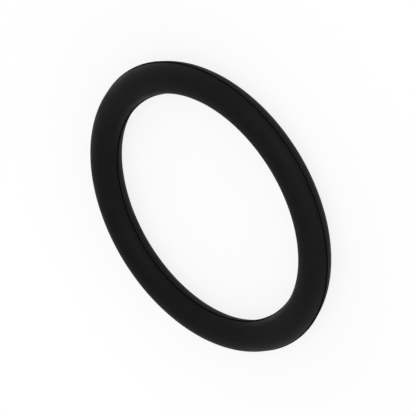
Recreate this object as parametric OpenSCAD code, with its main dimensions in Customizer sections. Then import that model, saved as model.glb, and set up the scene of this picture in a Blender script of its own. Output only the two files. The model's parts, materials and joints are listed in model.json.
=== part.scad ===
// Rubber o-ring: one moulded ring of round cord section, lying flat.
// Its two mould halves met in the ring's middle plane, so a fine ridge of trimmed
// flash runs once round the outside of the ring and once round the inside.
// The origin is the ring's centre: Z is its axis, and the middle plane is Z = 0.
// All sizes are in millimetres.

/* [Ring] */
// Inside diameter of the ring, measured on the round cord
inner_d = 27; // [8:0.5:80]
// Diameter of the round cord
cord_d = 3.5; // [2:0.1:6]

/* [Parting line] */
// Height at which the flash is trimmed off, above the round cord
ridge_h = 0.12; // [0.02:0.01:0.2]
// Thickness of the flash between the two mould halves
ridge_t = 0.08; // [0.02:0.01:0.16]
// Radius worn on the rims of the mould's cavity, which leaves a fillet on each side of the ridge
mould_rim_r = 0.08; // [0.02:0.01:0.16]

/* [Hidden] */
$fn = 180;

cord_r = cord_d / 2;
// Radius of the circle that the middle of the cord follows
ring_r = inner_d / 2 + cord_r;
// Distance of the ridge's crest from the middle of the cord
crest_x = cord_r + ridge_h;
// Centre of the fillet above the ridge: it touches the cord from outside, and the flash from above
fillet_y = ridge_t / 2 + mould_rim_r;
fillet_x = sqrt(pow(cord_r + mould_rim_r, 2) - pow(fillet_y, 2));

// Foot of the ridge, between the two worn rims of the cavity. The sides of the triangle run
// from the middle of the cord to the fillets' centres, through the points where they touch.
module ridge_foot() {
    difference() {
        polygon([[0, 0], [fillet_x, -fillet_y], [fillet_x, fillet_y]]);
        for (side = [-1, 1])
            translate([fillet_x, side * fillet_y])
                circle(r = mould_rim_r);
    }
}

// Flash that ran out between the two flat mould faces, longer than what trimming leaves of it
module flash() {
    translate([fillet_x, -ridge_t / 2])
        square([crest_x, ridge_t]);
}

// Ridge on one side of the cord: foot and flash, cut off at the trimming height
module ridge() {
    intersection() {
        union() {
            ridge_foot();
            flash();
        }
        translate([0, -cord_r])
            square([crest_x, cord_d]);
    }
}

// Section of the ring: the round cord with a ridge towards the outside and one towards the axis
module cord_section() {
    circle(r = cord_r);
    ridge();
    mirror([1, 0])
        ridge();
}

module o_ring() {
    color("#1b1b1b")
        rotate_extrude()
            translate([ring_r, 0])
                cord_section();
}

o_ring();
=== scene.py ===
# %% [markdown]
# # A rubber o-ring, lying on a pale studio table
#
# An o-ring is a seal: one closed ring of soft black rubber with a round section. It is pressed
# between two halves of a steel mould, so it carries one honest trace of how it was made, the
# parting line. A skin of rubber creeps out between the mould halves, is trimmed off, and leaves
# a fine ridge round the outside and round the inside of the ring.
#
# The measured ring comes in first. It was drawn in CAD and is never moved or resized here: it
# says how big everything is, and where.

# %% Load the measured ring
import json
import math

import bmesh
import bpy
from mathutils import Matrix, Vector


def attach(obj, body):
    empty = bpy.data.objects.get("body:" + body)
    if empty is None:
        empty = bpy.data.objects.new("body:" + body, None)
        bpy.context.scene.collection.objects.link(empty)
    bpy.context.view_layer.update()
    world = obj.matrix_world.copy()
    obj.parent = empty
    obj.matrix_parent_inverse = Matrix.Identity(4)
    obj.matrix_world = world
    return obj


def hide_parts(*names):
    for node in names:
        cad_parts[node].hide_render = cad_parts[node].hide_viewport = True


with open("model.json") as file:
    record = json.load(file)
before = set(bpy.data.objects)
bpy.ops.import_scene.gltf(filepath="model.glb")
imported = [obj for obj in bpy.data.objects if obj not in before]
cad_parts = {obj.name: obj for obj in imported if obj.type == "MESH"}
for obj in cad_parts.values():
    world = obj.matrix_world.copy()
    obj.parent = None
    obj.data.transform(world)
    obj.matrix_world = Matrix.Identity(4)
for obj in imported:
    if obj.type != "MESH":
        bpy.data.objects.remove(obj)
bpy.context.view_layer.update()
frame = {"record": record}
MM = 0.001

# %% [markdown]
# ## Sizes of the section
#
# The section takes five sizes. Four of them are already known to the measured ring, through the
# places where a machine touches it: the cord's highest point lies straight above the middle of
# the cord, and the ridge's crest on the outside has a radius and a length. Reading them, rather
# than typing them again, keeps the visible ring on the measured one. Only the worn rim of the
# mould's cavity, which leaves a small fillet beside the ridge, is a value of its own.

# %% Read the sizes
mounts = {mount["name"]: mount for mount in frame["record"]["mounts"]}
RING_RADIUS, _, CORD_RADIUS = mounts["upper_contact"]["pos_m"]
outer_crest = mounts["outer_seal"]["dims"]
RIDGE_HEIGHT = outer_crest["r_mm"] * MM - RING_RADIUS - CORD_RADIUS
FLASH_THICKNESS = outer_crest["length_mm"] * MM
MOULD_RIM_RADIUS = 0.08 * MM
print("ring radius", RING_RADIUS / MM, "mm, cord radius", CORD_RADIUS / MM, "mm")
print("ridge", round(RIDGE_HEIGHT / MM, 3), "mm high, flash", FLASH_THICKNESS / MM, "mm thick")

# %% [markdown]
# ## A node tree for the ring's shape
#
# Blender's menu has a torus, but a torus has no ridge, and a ridge pushed out of it by hand would
# fit one size only. Geometry Nodes keep the rule instead: draw the section from its sizes, then
# sweep it round a circle. A script can wire a tree as well as a hand can. `put` adds a node with a
# title, `feed` plugs a link or a plain value into a socket, and `calc` adds a Math node, so that a
# formula here reads much like a formula. The tree's named inputs are the sizes of the ring.

# %% Node helpers, and the tree's inputs
def put(tree, kind, title, **settings):
    node = tree.nodes.new(kind)
    node.label = title
    for name, value in settings.items():
        setattr(node, name, value)
    return node


def feed(tree, value, socket):
    if isinstance(value, bpy.types.NodeSocket):
        tree.links.new(value, socket)
    else:
        socket.default_value = value


def calc(tree, operation, *values):
    node = put(tree, "ShaderNodeMath", operation.capitalize(), operation=operation)
    for value, socket in zip(values, node.inputs):
        feed(tree, value, socket)
    return node.outputs[0]


moulding = bpy.data.node_groups.new("Moulded ring", "GeometryNodeTree")
for name in ("Ring radius", "Cord radius", "Ridge height", "Flash thickness",
             "Mould rim radius", "Trim wander", "Seed"):
    moulding.interface.new_socket(name, in_out="INPUT", socket_type="NodeSocketFloat")
moulding.interface.new_socket("Steps round the ring", in_out="INPUT", socket_type="NodeSocketInt")
moulding.interface.new_socket("Rubber", in_out="INPUT", socket_type="NodeSocketMaterial")
moulding.interface.new_socket("Ring", in_out="OUTPUT", socket_type="NodeSocketGeometry")
size = put(moulding, "NodeGroupInput", "Sizes").outputs
print("inputs:", ", ".join(socket.name for socket in size if socket.name))

# %% [markdown]
# ## Corners of the section
#
# The cavity's section is a round cord with a ridge on each side. Its four quarters are alike, so
# only one is drawn: the cord's arc, the fillet that the worn rim of the cavity leaves, the side
# of the flash and half of its trimmed crest. The fillet has to touch both the cord and the flash.
# Its centre therefore lies one rim radius above the flash and one rim radius outside the cord, and
# the angle at which it touches the cord follows from those two.

# %% Work out the corners
reach = calc(moulding, "ADD", size["Cord radius"], size["Mould rim radius"])
half_flash = calc(moulding, "MULTIPLY", size["Flash thickness"], 0.5)
fillet_y = calc(moulding, "ADD", half_flash, size["Mould rim radius"])
touch = calc(moulding, "ARCSINE", calc(moulding, "DIVIDE", fillet_y, reach))
fillet_x = calc(moulding, "MULTIPLY", reach, calc(moulding, "COSINE", touch))
crest_x = calc(moulding, "ADD", size["Cord radius"], size["Ridge height"])

rise = FLASH_THICKNESS / 2 + MOULD_RIM_RADIUS
touch_angle = math.degrees(math.asin(rise / (CORD_RADIUS + MOULD_RIM_RADIUS)))
print("the fillet touches the cord", round(touch_angle, 2), "degrees above the parting plane")

# %% [markdown]
# ## Arcs and straight lines
#
# The quarter lies in the plane of the section, with X pointing away from the middle of the cord
# and Y pointing up. The cord and the fillet are arcs. Both sweep through the same angle, because
# the fillet turns exactly as far as the cord does before it lets go of it. The side of the flash
# and its crest are straight, and meet at a corner.

# %% Draw the four lines
CORD_STEPS = 25
FILLET_STEPS = 7


def point(x, y):
    node = put(moulding, "ShaderNodeCombineXYZ", "Point")
    feed(moulding, x, node.inputs["X"])
    feed(moulding, y, node.inputs["Y"])
    return node.outputs[0]


def arc(title, steps, radius, start, sweep):
    node = put(moulding, "GeometryNodeCurveArc", title, mode="RADIUS")
    for name, value in (("Resolution", steps), ("Radius", radius), ("Start Angle", start),
                        ("Sweep Angle", sweep)):
        feed(moulding, value, node.inputs[name])
    return node.outputs["Curve"]


def line(title, start, end):
    node = put(moulding, "GeometryNodeCurvePrimitiveLine", title)
    feed(moulding, start, node.inputs["Start"])
    feed(moulding, end, node.inputs["End"])
    return node.outputs["Curve"]


sweep_angle = calc(moulding, "SUBTRACT", math.pi / 2, touch)
turned = calc(moulding, "ADD", touch, math.pi)
corner = point(crest_x, half_flash)
cord = arc("Cord", CORD_STEPS, size["Cord radius"], touch, sweep_angle)
fillet = arc("Fillet", FILLET_STEPS, size["Mould rim radius"], turned, sweep_angle)
flash_side = line("Side of the flash", point(fillet_x, half_flash), corner)
half_crest = line("Half of the crest", corner, point(crest_x, 0.0))
print("both arcs sweep through", round(90 - touch_angle, 2), "degrees")

# %% [markdown]
# ## One quarter of the section
#
# Each arc is drawn about its own centre. The cord's centre is the middle of the section already,
# so only the fillet is moved, into its corner between the cord and the flash. The four lines are
# then joined into one quarter.

# %% Join the quarter
def join(title, *parts):
    node = put(moulding, "GeometryNodeJoinGeometry", title)
    for part in parts:
        moulding.links.new(part, node.inputs["Geometry"])
    return node.outputs["Geometry"]


def placed(title, shape, offset=(0, 0, 0), scale=(1, 1, 1)):
    node = put(moulding, "GeometryNodeTransform", title)
    moulding.links.new(shape, node.inputs["Geometry"])
    feed(moulding, offset, node.inputs["Translation"])
    feed(moulding, scale, node.inputs["Scale"])
    return node.outputs["Geometry"]


fillet_in_place = placed("Fillet in its corner", fillet, offset=point(fillet_x, fillet_y))
quarter = join("Quarter of the section", cord, fillet_in_place, flash_side, half_crest)
print("one quarter has", CORD_STEPS + FILLET_STEPS + 1, "points")

# %% [markdown]
# ## From one quarter to the whole section
#
# Two mirrored copies make the whole outline. Joined curves are still separate pieces, so they
# are turned into edges, merged where their ends meet, and turned back into one closed curve.
# A closed curve matters: swept round the ring it gives a skin with no slit in it.

# %% Close the section
WELD = 0.0001 * MM


def edges_of(curve):
    node = put(moulding, "GeometryNodeCurveToMesh", "Outline as edges")
    moulding.links.new(curve, node.inputs["Curve"])
    return node.outputs["Mesh"]


edges = edges_of(quarter)
half = join("Upper half", edges, placed("Towards the axis", edges, scale=(-1, 1, 1)))
outline = join("All four quarters", half, placed("Lower half", half, scale=(1, -1, 1)))
weld = put(moulding, "GeometryNodeMergeByDistance", "Weld the ends")
weld.inputs["Distance"].default_value = WELD
moulding.links.new(outline, weld.inputs["Geometry"])
section = put(moulding, "GeometryNodeMeshToCurve", "One closed section")
moulding.links.new(weld.outputs["Geometry"], section.inputs["Mesh"])
section_points = 4 * (CORD_STEPS + FILLET_STEPS)
print("closed section of", section_points, "points")

# %% [markdown]
# ## Remember the way round the section
#
# The map of the skin, further down, needs to know how far round the section each point lies. Here
# it is simply the number of the point in its curve, as a share of all points, but the sweep
# counts its points anew. A captured attribute travels with the points through all later nodes.

# %% Keep the way round
number = put(moulding, "GeometryNodeSplineParameter", "Number of the point").outputs["Index"]
how_many = put(moulding, "GeometryNodeSplineLength", "Number of points").outputs["Point Count"]
memory = put(moulding, "GeometryNodeCaptureAttribute", "Keep the way round")
memory.capture_items.new("FLOAT", "Round the section")
moulding.links.new(section.outputs["Curve"], memory.inputs["Geometry"])
feed(moulding, calc(moulding, "DIVIDE", number, how_many), memory.inputs["Round the section"])
round_section = memory.outputs["Round the section"]
print("one step round the section is", round(1 / section_points, 5), "of the way")

# %% [markdown]
# ## Sweep the section round the ring
#
# Curve to Mesh carries the section round a circle. The circle's normal is set to stand upright,
# so that the section's X points outwards all the way round. The faces come out looking inwards,
# because the section runs the other way round its curve, so they are flipped.

# %% Sweep
path = put(moulding, "GeometryNodeCurvePrimitiveCircle", "Middle of the cord", mode="RADIUS")
feed(moulding, size["Steps round the ring"], path.inputs["Resolution"])
feed(moulding, size["Ring radius"], path.inputs["Radius"])
upright = put(moulding, "GeometryNodeSetCurveNormal", "Section stands upright", mode="Z_UP")
moulding.links.new(path.outputs["Curve"], upright.inputs["Curve"])
sweep = put(moulding, "GeometryNodeCurveToMesh", "Sweep")
moulding.links.new(upright.outputs["Curve"], sweep.inputs["Curve"])
moulding.links.new(memory.outputs["Geometry"], sweep.inputs["Profile Curve"])
outwards = put(moulding, "GeometryNodeFlipFaces", "Faces look outwards")
moulding.links.new(sweep.outputs["Mesh"], outwards.inputs["Mesh"])
print("path", round(2 * math.pi * RING_RADIUS / MM, 1), "mm long")

# %% [markdown]
# ## How far out a point lies
#
# The crest of the ridge is trimmed in the next step, and only the crest. To find it, each point
# of the skin is measured from the middle of the cord beside it: the level direction away from the
# axis, times the ring's radius, is that middle.

# %% Measure from the middle of the cord
def vector_calc(title, operation, first, second=None):
    node = put(moulding, "ShaderNodeVectorMath", title, operation=operation)
    feed(moulding, first, node.inputs[0])
    if second is not None:
        feed(moulding, second, node.inputs["Scale" if operation == "SCALE" else 1])
    return node.outputs["Value" if operation == "LENGTH" else "Vector"]


place = put(moulding, "GeometryNodeInputPosition", "Place").outputs["Position"]
level_place = vector_calc("Level with the ring", "MULTIPLY", place, (1, 1, 0))
away = vector_calc("Away from the axis", "NORMALIZE", level_place)
middle = vector_calc("Middle of the cord here", "SCALE", away, size["Ring radius"])
from_middle = vector_calc("From the middle", "SUBTRACT", place, middle)
distance = vector_calc("How far", "LENGTH", from_middle)
print("the crest lies", round((CORD_RADIUS + RIDGE_HEIGHT) / MM, 3), "mm from the middle")

# %% [markdown]
# ## Trim the flash
#
# The mould makes a perfect ring, but the trimming doesn't: the flash is torn off or ground off,
# so the crest of the ridge wanders by about a hundredth of a millimetre. A noise with a seed
# lowers the crest here and there. It reads the place in space, so it meets itself after a turn
# round the ring, and its share grows from nothing at the side of the flash to all at the crest.

# %% Lower the crest here and there
TRIM_PATCH = 1.4 * MM


def ramp(tree, title, value, start, end, low=0.0, high=1.0, kind="SMOOTHSTEP"):
    node = put(tree, "ShaderNodeMapRange", title, interpolation_type=kind)
    for name, given in (("Value", value), ("From Min", start), ("From Max", end),
                        ("To Min", low), ("To Max", high)):
        feed(tree, given, node.inputs[name])
    return node.outputs["Result"]


trim_share = ramp(moulding, "Share of the trimming", distance,
                  calc(moulding, "SUBTRACT", crest_x, size["Trim wander"]), crest_x, kind="LINEAR")
uneven = put(moulding, "ShaderNodeTexNoise", "Uneven trimming", noise_dimensions="4D")
feed(moulding, level_place, uneven.inputs["Vector"])
feed(moulding, size["Seed"], uneven.inputs["W"])
uneven.inputs["Scale"].default_value = 1 / TRIM_PATCH
uneven.inputs["Detail"].default_value = 3.0
drop = calc(moulding, "MULTIPLY", calc(moulding, "MULTIPLY", uneven.outputs["Fac"], trim_share),
            size["Trim wander"])
inwards = vector_calc("Towards the middle", "SCALE", from_middle,
                      calc(moulding, "DIVIDE", calc(moulding, "MULTIPLY", drop, -1.0), distance))
trim = put(moulding, "GeometryNodeSetPosition", "Trim the crest")
moulding.links.new(outwards.outputs["Mesh"], trim.inputs["Geometry"])
moulding.links.new(inwards, trim.inputs["Offset"])
print("trimming has", round(2 * math.pi * RING_RADIUS / TRIM_PATCH), "patches round the ring")

# %% [markdown]
# ## A map of the skin
#
# A model that is handed on carries its finish as pictures, so each corner of its faces needs a
# place in them. An automatic unwrap cuts the ridge into slivers thinner than a pixel, and the
# parting line comes out broken. The ring is one long strip, so its map can follow a rule: one
# number for the way round the ring, one for the way round the section.
#
# Both numbers jump from one back to nothing where a turn ends, and a face across that place would
# reach back over the whole map. So each corner is compared with the middle of its face, and where
# the two lie on different sides of the jump, the corner counts on past one, or stays below nothing.

# %% Count the way round for each corner
CLOSES_THE_TURN = 0.25


def for_the_face(title, value, kind):
    node = put(moulding, "GeometryNodeFieldOnDomain", title, domain="FACE", data_type=kind)
    feed(moulding, value, node.inputs[0])
    return node.outputs[0]


def turn_of(spot):
    sides = put(moulding, "ShaderNodeSeparateXYZ", "Along each axis")
    feed(moulding, spot, sides.inputs[0])
    turned_by = calc(moulding, "ARCTAN2", sides.outputs["Y"], sides.outputs["X"])
    return calc(moulding, "FRACT", calc(moulding, "DIVIDE", turned_by, 2 * math.pi))


face_turn = turn_of(for_the_face("Middle of the face", place, "FLOAT_VECTOR"))
corner_turn = turn_of(place)
whole_turns = calc(moulding, "ROUND", calc(moulding, "SUBTRACT", face_turn, corner_turn))
corner_turn = calc(moulding, "ADD", corner_turn, whole_turns)
face_section = for_the_face("Round the section, at its middle", round_section, "FLOAT")
behind = calc(moulding, "SUBTRACT", face_section, round_section)
corner_section = calc(moulding, "ADD", round_section,
                      calc(moulding, "GREATER_THAN", behind, CLOSES_THE_TURN))
print("a corner more than", CLOSES_THE_TURN, "of the way behind its face counts on past one")

# %% [markdown]
# ## Three lengths, one above the other
#
# A strip nine times as long as it is wide fits a square picture badly. Cut into three lengths that
# lie one above the other, with the way round the ring from left to right, it fills the square, and
# a small gap keeps the lengths apart. Each face of the section is equally high in the map, so the
# narrow faces of the ridge get as many pixels as the wide ones of the cord. The rubber doesn't
# read this map.

# %% Lay out the map
MAP_NAME = "OFBake"
LENGTHS = 3
GAP = 0.01


def inside_gap(value):
    return ramp(moulding, "Inside its gap", value, 0.0, 1.0, GAP, 1.0 - GAP, "LINEAR")


which_length = calc(moulding, "FLOOR", calc(moulding, "MULTIPLY", face_turn, LENGTHS))
across = calc(moulding, "SUBTRACT", calc(moulding, "MULTIPLY", corner_turn, LENGTHS),
              which_length)
up = calc(moulding, "DIVIDE", calc(moulding, "ADD", which_length, inside_gap(corner_section)),
          LENGTHS)
mapped = put(moulding, "GeometryNodeStoreNamedAttribute", "Map of the skin",
             data_type="FLOAT2", domain="CORNER")
mapped.inputs["Name"].default_value = MAP_NAME
moulding.links.new(trim.outputs["Geometry"], mapped.inputs["Geometry"])
feed(moulding, point(inside_gap(across), up), mapped.inputs["Value"])
length_mm = round(2 * math.pi * RING_RADIUS / LENGTHS / MM, 1)
print("map of", LENGTHS, "lengths, each", length_mm, "mm long")

# %% [markdown]
# ## Shading, and the end of the tree
#
# The cord and the fillets are the imprint of a smooth cavity, so they are shaded smooth. The flash
# was cut, so its edges stay crisp: an edge whose faces meet at more than forty degrees is marked
# sharp. The tree ends in Realize Instances and Set Material, so that what leaves it is plain
# geometry that already wears its rubber. Last, `lay_out` puts each node one column to the left of
# the nodes it feeds, so that a person who opens the tree can follow it from left to right.

# %% Finish the tree
CRISP_ANGLE = math.radians(40)
COLUMN, ROW = 220, 190


def lay_out(tree, title):
    column = {node.name: 0 for node in tree.nodes}
    for _ in tree.nodes:
        for link in tree.links:
            before, after = link.from_node.name, link.to_node.name
            column[before] = max(column[before], column[after] + 1)
    filled = {}
    for node in tree.nodes:
        row = filled.get(column[node.name], 0)
        filled[column[node.name]] = row + 1
        node.location = (-COLUMN * column[node.name], -ROW * row)
    print(title, "has", len(tree.nodes), "nodes in", len(filled), "columns")


smooth = put(moulding, "GeometryNodeSetShadeSmooth", "Moulded faces are smooth", domain="FACE")
moulding.links.new(mapped.outputs["Geometry"], smooth.inputs["Geometry"])
bend = put(moulding, "GeometryNodeInputMeshEdgeAngle", "Angle at the edge")
crisp = put(moulding, "GeometryNodeSetShadeSmooth", "Cut edges are crisp", domain="EDGE")
crisp.inputs["Shade Smooth"].default_value = False
feed(moulding, calc(moulding, "GREATER_THAN", bend.outputs["Unsigned Angle"], CRISP_ANGLE),
     crisp.inputs["Selection"])
moulding.links.new(smooth.outputs["Geometry"], crisp.inputs["Geometry"])
realize = put(moulding, "GeometryNodeRealizeInstances", "Plain geometry")
moulding.links.new(crisp.outputs["Geometry"], realize.inputs["Geometry"])
dress = put(moulding, "GeometryNodeSetMaterial", "Wear the rubber")
moulding.links.new(realize.outputs["Geometry"], dress.inputs["Geometry"])
moulding.links.new(size["Rubber"], dress.inputs["Material"])
result = put(moulding, "NodeGroupOutput", "Ring")
moulding.links.new(dress.outputs["Geometry"], result.inputs["Ring"])
lay_out(moulding, "the ring's tree")

# %% [markdown]
# ## The rubber, seen from the section
#
# Seal rubber is black because it is filled with soot. Three things keep it from being one flat
# black. Its skin is the print of a steel cavity that was turned on a lathe and then blasted, so
# it has a fine grain, and very faint lines that run with the ring. It sweats a little wax, which
# greys it in soft patches. And the parting line reads as a dark thread: the roots of the ridge
# are corners that light hardly leaves, and here that shade is painted into the colour as black.
# Its crest is torn rubber, rougher and a little greyer than the moulded skin.
#
# Patterns laid out on a flat map would break where the map ends. Object coordinates have no ends:
# how far a point stands proud of the cord tells the ridge's roots and its crest from the skin, and
# its angle round the cord carries the lathe's lines.

# %% Where on the section a point lies
ROOT_STARTS, ROOT_IS_DARK = 0.0005 * MM, 0.006 * MM
CREST_STARTS, CREST_IS_TORN = 0.6 * RIDGE_HEIGHT, 0.9 * RIDGE_HEIGHT

rubber = bpy.data.materials.new("seal_rubber")
rubber.use_nodes = True
coat = rubber.node_tree
shader = coat.nodes["Principled BSDF"]


def length_of(first, second):
    squares = [calc(coat, "MULTIPLY", side, side) for side in (first, second)]
    return calc(coat, "SQRT", calc(coat, "ADD", *squares))


spot = put(coat, "ShaderNodeTexCoord", "Place").outputs["Object"]
axes = put(coat, "ShaderNodeSeparateXYZ", "Along each axis")
coat.links.new(spot, axes.inputs[0])
from_axis = length_of(axes.outputs["X"], axes.outputs["Y"])
outward = calc(coat, "SUBTRACT", from_axis, RING_RADIUS)
proud = calc(coat, "SUBTRACT", length_of(outward, axes.outputs["Z"]), CORD_RADIUS)
angle = calc(coat, "ARCTAN2", axes.outputs["Z"], outward)
# The roots' mask carries painted shade: the colour turns black there for the shade in the corners
# beside the ridge.
root = ramp(coat, "Roots of the ridge", proud, ROOT_STARTS, ROOT_IS_DARK)
crest = ramp(coat, "Crest of the ridge", proud, CREST_STARTS, CREST_IS_TORN)
print("the crest is torn rubber above", round(CREST_IS_TORN / MM, 3), "mm")

# %% [markdown]
# ## Tone
#
# The wax is a soft cloud, a noise with patches a few millimetres wide, and it lifts the grey a
# little. The roots, black with painted shade, and the crest then lie over the skin in that order.
# The ring sends back about a hundredth of the light that falls on it, part of it as gloss, so the
# greys are very small numbers. They go into the shader through a link, because they vary over the
# surface.

# %% Mix the greys
# The roots' grey of nothing is painted shade, the dark of the corners beside the ridge.
SKIN_GREY, WAXED_GREY, ROOT_PAINTED_SHADE, TORN_GREY = 0.0041, 0.0058, 0.0, 0.0085
WAX_PATCH = 2.6 * MM
WAX_STARTS, WAX_IS_FULL = 0.35, 0.7


def noise(title, patch, detail):
    node = put(coat, "ShaderNodeTexNoise", title)
    coat.links.new(spot, node.inputs["Vector"])
    node.inputs["Scale"].default_value = 1 / patch
    node.inputs["Detail"].default_value = detail
    return node.outputs["Fac"]


def blend(title, share, low, high):
    return ramp(coat, title, share, 0.0, 1.0, low, high, "LINEAR")


def skin_root_crest(skin_value, root_value, crest_value):
    value = blend("Skin or root", root, skin_value, root_value)
    return blend("Or crest", crest, value, crest_value)


wax_cloud = noise("Wax patches", WAX_PATCH, detail=4.0)
wax = ramp(coat, "Wax bloom", wax_cloud, WAX_STARTS, WAX_IS_FULL)
skin_tone = blend("Greyed by wax", wax, SKIN_GREY, WAXED_GREY)
tone = skin_root_crest(skin_tone, ROOT_PAINTED_SHADE, TORN_GREY)
grey = put(coat, "ShaderNodeCombineColor", "Grey")
for channel in ("Red", "Green", "Blue"):
    coat.links.new(tone, grey.inputs[channel])
coat.links.new(grey.outputs["Color"], shader.inputs["Base Color"])
print("grey of the skin from", SKIN_GREY, "to", WAXED_GREY)

# %% [markdown]
# ## Dullness
#
# Where wax greys the skin it also spreads the gloss, so roughness follows the same cloud, as it
# does on a real seal. The torn crest is duller than the skin, and the roots are as dull as a
# surface can be. The strength of the gloss is the same all over, so it is set on the shader itself.

# %% Spread the gloss
SKIN_ROUGHNESS, WAXED_ROUGHNESS, ROOT_ROUGHNESS, TORN_ROUGHNESS = 0.52, 0.62, 1.0, 0.70
GLOSS = 0.055

skin_dullness = blend("Dulled by wax", wax, SKIN_ROUGHNESS, WAXED_ROUGHNESS)
dullness = skin_root_crest(skin_dullness, ROOT_ROUGHNESS, TORN_ROUGHNESS)
coat.links.new(dullness, shader.inputs["Roughness"])
shader.inputs["Specular IOR Level"].default_value = GLOSS
print("roughness of the skin from", SKIN_ROUGHNESS, "to", WAXED_ROUGHNESS)

# %% [markdown]
# ## Relief
#
# The grain and the lathe's lines are far too small to model, so they only bend the light, through
# one Bump node. Its height is given in metres, and its distance is one, so each depth below is a
# real depth. The grain's noise seldom uses more than a third of the depth that it is given.

# %% Add grain, lines and tear
GRAIN = 0.07 * MM
GRAIN_DEPTH = 0.018 * MM
TORN_DEPTH = 0.04 * MM
TURNING_PITCH = 0.11 * MM
TURNING_DEPTH = 0.0012 * MM

lines_round_the_cord = 2 * math.pi * CORD_RADIUS / TURNING_PITCH
wave = calc(coat, "SINE", calc(coat, "MULTIPLY", angle, lines_round_the_cord))
turning = calc(coat, "MULTIPLY", wave, TURNING_DEPTH)
grain = calc(coat, "MULTIPLY", noise("Blasted grain", GRAIN, detail=2.0), GRAIN_DEPTH)
tear = calc(coat, "MULTIPLY", noise("Torn grain", GRAIN, detail=4.0), TORN_DEPTH)
relief = put(coat, "ShaderNodeBump", "Relief")
feed(coat, skin_root_crest(calc(coat, "ADD", turning, grain), 0.0, tear), relief.inputs["Height"])
relief.inputs["Distance"].default_value = 1.0
coat.links.new(relief.outputs["Normal"], shader.inputs["Normal"])
print("lathe lines round the cord:", round(lines_round_the_cord))
lay_out(coat, "the rubber")

# %% [markdown]
# ## Make the ring
#
# The tree goes onto an empty mesh as a modifier, and its inputs are set by their identifiers
# before Blender evaluates it. The result is then taken as a plain mesh, and the modifier goes.
# Only here do the sizes meet the tree, so a ring of another shape takes nothing but other numbers.

# %% Build it
STEPS_ROUND_THE_RING = 480
TRIM_WANDER = 0.02 * MM
TRIM_SEED = 7.0


def made_by(tree, name, values):
    blank = bpy.data.objects.new(name + "_tree", bpy.data.meshes.new(name + "_blank"))
    bpy.context.scene.collection.objects.link(blank)
    modifier = blank.modifiers.new("Moulded ring", "NODES")
    modifier.node_group = tree
    for socket in tree.interface.items_tree:
        if socket.in_out == "INPUT":
            modifier[socket.identifier] = values[socket.name]
    graph = bpy.context.evaluated_depsgraph_get()
    mesh = bpy.data.meshes.new_from_object(blank.evaluated_get(graph))
    mesh.name = name
    blank.modifiers.remove(modifier)
    bpy.data.objects.remove(blank)
    piece = bpy.data.objects.new(name, mesh)
    bpy.context.scene.collection.objects.link(piece)
    return piece


ring = made_by(moulding, "rubber_ring", {
    "Ring radius": RING_RADIUS,
    "Cord radius": CORD_RADIUS,
    "Ridge height": RIDGE_HEIGHT,
    "Flash thickness": FLASH_THICKNESS,
    "Mould rim radius": MOULD_RIM_RADIUS,
    "Trim wander": TRIM_WANDER,
    "Seed": TRIM_SEED,
    "Steps round the ring": STEPS_ROUND_THE_RING,
    "Rubber": rubber,
})
print("maps on the ring:", ", ".join(layer.name for layer in ring.data.uv_layers))

# %% [markdown]
# ## Count, and hand over
#
# Two sums show that the skin is sound: every edge has two faces, and the volume is positive and
# a little more than a plain torus holds, so the faces point outwards and the ridge is there. Then
# the ring is tied to the frame. It moves with the measured ring's only body and stands in its
# place.

# %% Count it and tie it to the frame
check = bmesh.new()
check.from_mesh(ring.data)
open_edges = sum(len(edge.link_faces) != 2 for edge in check.edges)
print("faces", len(check.faces), "open edges", open_edges)
print("volume", round(check.calc_volume(signed=True) / MM ** 3, 1), "cubic millimetres")
plain_torus = 2 * math.pi ** 2 * RING_RADIUS * CORD_RADIUS ** 2
print("a plain torus holds", round(plain_torus / MM ** 3, 1))
check.free()

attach(ring, "root")
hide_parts("o_ring")

# %% [markdown]
# ## White for the camera
#
# Paper and room should read as plain white, without pouring extra light on a black object. A
# table lit until it turns white would do that, but the ring would turn grey with it. The Light
# Path node parts the two: rays that the camera sends, and mirror-like and see-through ones, meet
# a white of strength one, and all other light meets the plain material. `share` is how much of
# the plain material the camera sees all the same.

# %% A mix that depends on the ray
WHITE = (1, 1, 1, 1)


def white_when_seen(tree, plain, share, white_kind):
    rays = put(tree, "ShaderNodeLightPath", "Which ray").outputs
    seen = calc(tree, "MULTIPLY", rays["Is Camera Ray"], calc(tree, "SUBTRACT", 1.0, share))
    seen = calc(tree, "MAXIMUM", seen, rays["Is Glossy Ray"])
    seen = calc(tree, "MAXIMUM", seen, rays["Is Transmission Ray"])
    white = put(tree, white_kind, "White of strength one")
    white.inputs["Color"].default_value = WHITE
    white.inputs["Strength"].default_value = 1.0
    mix = put(tree, "ShaderNodeMixShader", "White when seen")
    feed(tree, seen, mix.inputs["Fac"])
    tree.links.new(plain, mix.inputs[1])
    tree.links.new(white.outputs[0], mix.inputs[2])
    return mix.outputs["Shader"]


print("white for the camera:", WHITE[:3])

# %% [markdown]
# ## Paper
#
# The ring lies on pale paper. Near the ring a share of the real paper is mixed into the white,
# which keeps the ring's own soft shadow. Further out that share fades to nothing, so that the
# faint grey of the paper itself doesn't veil the white.

# %% Mix the paper
PAPER = 0.95
PAPER_SHARE = 0.17
SHADOW_FADES, SHADOW_IS_GONE = 1.3 * RING_RADIUS, 2.4 * RING_RADIUS

paper = bpy.data.materials.new("paper")
paper.use_nodes = True
sheet = paper.node_tree
sheet.nodes.remove(sheet.nodes["Principled BSDF"])
matt = put(sheet, "ShaderNodeBsdfDiffuse", "Paper")
matt.inputs["Color"].default_value = (PAPER, PAPER, PAPER, 1)
how_far = put(sheet, "ShaderNodeVectorMath", "How far from the ring's centre", operation="LENGTH")
sheet.links.new(put(sheet, "ShaderNodeTexCoord", "Place").outputs["Object"], how_far.inputs[0])
paper_share = ramp(sheet, "Shadow fades", how_far.outputs["Value"], SHADOW_FADES, SHADOW_IS_GONE,
                   PAPER_SHARE, 0.0)
shown = white_when_seen(sheet, matt.outputs["BSDF"], paper_share, "ShaderNodeEmission")
sheet.links.new(shown, sheet.nodes["Material Output"].inputs["Surface"])
lay_out(sheet, "the paper")

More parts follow.
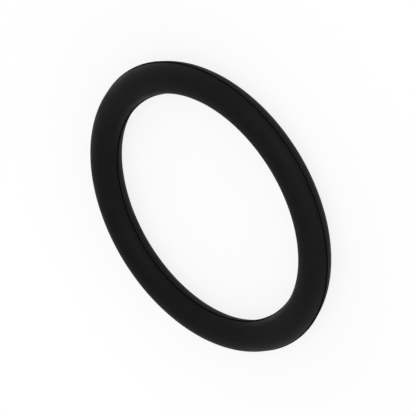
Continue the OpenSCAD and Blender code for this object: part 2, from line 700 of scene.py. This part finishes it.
# %% [markdown]
# ## Table
#
# A ring of soft rubber can't stand up, so it lies flat, as it would come to rest, and touches the
# table along the lowest circle of its cord. The table is one flat disc at that height. It is far
# wider than the ring, so its rim is never near the picture, and a plain sheet needs no thickness.

# %% Lay the table
TABLE_RADIUS = 1.2
TABLE_STEPS = 96

table = bpy.data.objects.new("table", bpy.data.meshes.new("table"))
top = bmesh.new()
bmesh.ops.create_circle(top, cap_ends=True, segments=TABLE_STEPS, radius=TABLE_RADIUS)
bmesh.ops.translate(top, vec=(0, 0, -CORD_RADIUS), verts=top.verts)
top.to_mesh(table.data)
top.free()
table.data.materials.append(paper)
bpy.context.scene.collection.objects.link(table)
print("table at", -CORD_RADIUS / MM, "mm")

# %% [markdown]
# ## Room light
#
# A black object shows little more than what it mirrors, so its surroundings matter more than its
# lamps. One hard lamp would draw a bright stripe along the cord, as on wet plastic. An even,
# bright room gives the soft grey rims that real rubber has, brightest where the surface turns
# away. It is white for the camera and for mirror-like rays, and a little dimmer as a lamp.

# %% Light the room
ROOM_LIGHT = 0.75

world = bpy.data.worlds.new("room")
bpy.context.scene.world = world
world.use_nodes = True
room = world.node_tree
plain_room = room.nodes["Background"]
plain_room.inputs["Color"].default_value = WHITE
plain_room.inputs["Strength"].default_value = ROOM_LIGHT
shown = white_when_seen(room, plain_room.outputs["Background"], 0.0, "ShaderNodeBackground")
room.links.new(shown, room.nodes["World Output"].inputs["Surface"])
lay_out(room, "the room")

# %% [markdown]
# ## Softboxes
#
# Room light alone would leave the walls of the cord and its top alike. Three wide softboxes stand
# low round the ring, none of them overhead: the large share comes from the camera's side, the rest
# from the left and the right. They reach the walls more than the top, and so they set the two
# apart. Room and softboxes add up to about one on the table, so a colour renders about as it is
# written. Each softbox is turned so that its face looks at the ring.

# %% Set up the softboxes
SOFTBOX_SIDE = 0.5
SOFTBOXES = (
    ("softbox_front", (0.0, -0.65, 0.2), 3.0),
    ("softbox_left", (-0.65, 0.0, 0.2), 0.4),
    ("softbox_right", (0.65, 0.0, 0.2), 0.4),
)


def softbox(name, place, watts):
    lamp = bpy.data.lights.new(name, "AREA")
    lamp.shape = "SQUARE"
    lamp.size = SOFTBOX_SIDE
    lamp.energy = watts
    holder = bpy.data.objects.new(name, lamp)
    bpy.context.scene.collection.objects.link(holder)
    aim = Vector(place).to_track_quat("Z", "Y").to_matrix().to_4x4()
    holder.matrix_world = Matrix.Translation(place) @ aim
    print(name, watts, "W")


for name, place, watts in SOFTBOXES:
    softbox(name, place, watts)

# %% [markdown]
# ## Camera
#
# The picture looks down on the ring from 38 degrees above the table, through a long lens, and the
# camera is rolled, so that the near side of the ring is at the upper right. Distance and focal
# length go together: the ratio of the near side's size to the far side's gives the distance, and
# the size of the ring in the frame then gives the focal length.

# %% Set up the camera
FRAME_PIXELS = 416
SENSOR = 36.0
ELEVATION = math.radians(37.73)
ROLL = math.radians(-121.15)
DISTANCE_IN_RING_RADII = 24.24
RING_RADIUS_PIXELS = 141.59
NEAREST_SEEN = 0.1

camera = bpy.data.objects.new("camera", bpy.data.cameras.new("camera"))
bpy.context.scene.collection.objects.link(camera)
camera_distance = DISTANCE_IN_RING_RADII * RING_RADIUS
towards_camera = Vector((0, -math.cos(ELEVATION), math.sin(ELEVATION)))
level = towards_camera.to_track_quat("Z", "Y").to_matrix().to_4x4()
camera.matrix_world = (Matrix.Translation(towards_camera * camera_distance) @ level
                       @ Matrix.Rotation(ROLL, 4, "Z"))
camera.data.sensor_width = SENSOR
camera.data.lens = SENSOR * DISTANCE_IN_RING_RADII * RING_RADIUS_PIXELS / FRAME_PIXELS
camera.data.clip_start = NEAREST_SEEN * camera_distance
bpy.context.scene.camera = camera
bpy.context.scene.view_settings.view_transform = "Standard"
print("camera", round(camera_distance, 4), "m away, lens", round(camera.data.lens, 1), "mm")
